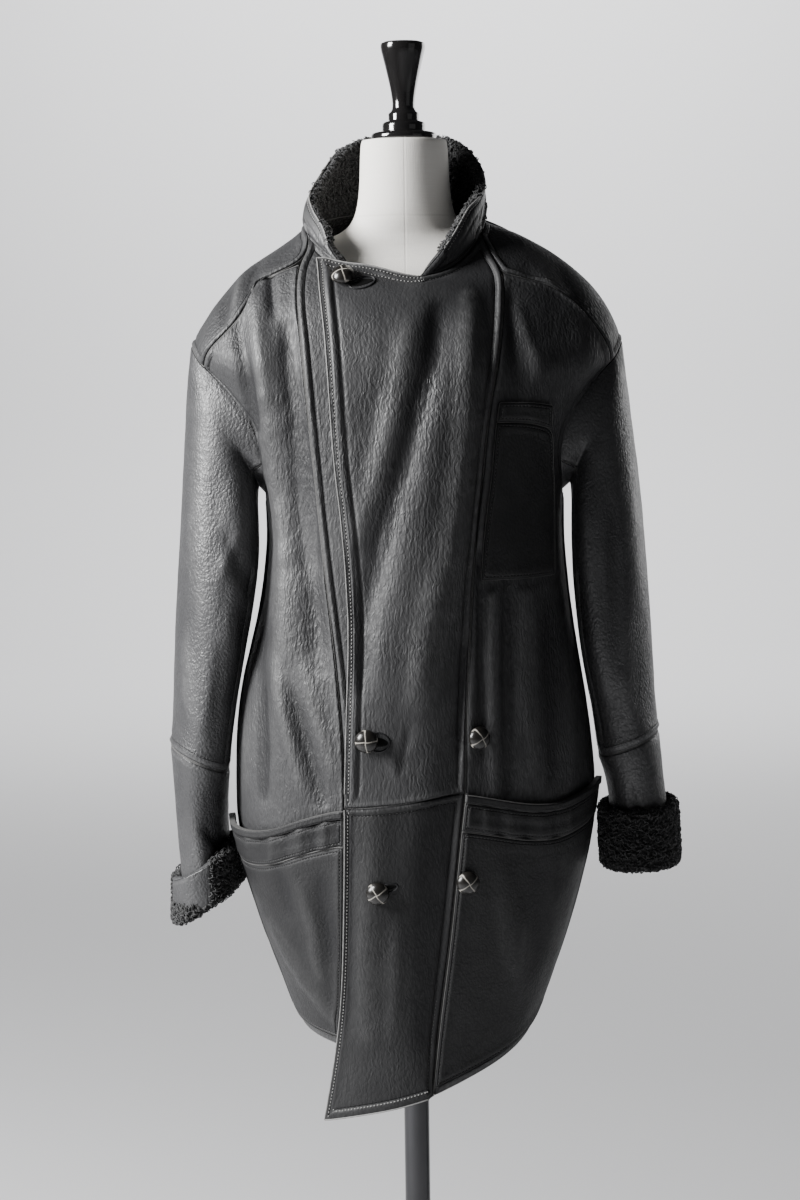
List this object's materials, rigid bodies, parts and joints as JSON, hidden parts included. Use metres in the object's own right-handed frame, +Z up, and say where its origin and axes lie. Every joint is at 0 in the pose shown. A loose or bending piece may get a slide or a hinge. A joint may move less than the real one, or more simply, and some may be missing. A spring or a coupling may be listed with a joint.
{
  "type": "shearling coat on a limbless dress form with a pole stand",
  "caption": "Long buttoned shearling coat with a standing collar, turned-back cuffs and patch pockets, worn by a limbless dress form on a pole with a round base.",
  "frame": {"origin": "centre of the flat underside of the round base, on the axis of the pole", "axes": "+Z up along the pole, -Y the way the coat faces, +X the wearer's left"},
  "size_m": [0.6233, 0.41, 1.716],
  "materials": {
    "leather": "soft black leather, slightly worn",
    "shearling": "curly black wool",
    "button": "woven leather, polished",
    "linen": "natural linen, matt",
    "lacquer": "glossy black lacquer",
    "pole_metal": "dark chrome",
    "base_metal": "black, satin"
  },
  "bodies": {
    "root": {"back_left": "leather", "back_right": "leather", "breast_pocket": "leather", "breast_pocket_band": "leather", "button_hip_left": "button", "button_hip_right": "button", "button_neck": "button", "button_waist_left": "button", "button_waist_right": "button", "collar": "leather", "cuff_left": "shearling", "cuff_right": "shearling", "forearm_left": "leather", "forearm_right": "leather", "form_cap": "lacquer", "form_torso": "linen", "front_left_middle": "leather", "front_left_side": "leather", "front_left_skirt": "leather", "front_right_middle": "leather", "front_right_side": "leather", "pocket_band_left": "leather", "pocket_band_right": "leather", "pocket_left": "leather", "pocket_right": "leather", "pocket_welt_left": "leather", "pocket_welt_right": "leather", "sleeve_top_left": "leather", "sleeve_top_right": "leather", "sleeve_under_left": "leather", "sleeve_under_right": "leather", "stand_base": "base_metal", "stand_pole": "pole_metal", "yoke_left": "leather", "yoke_right": "leather"}
  },
  "joints": []
}
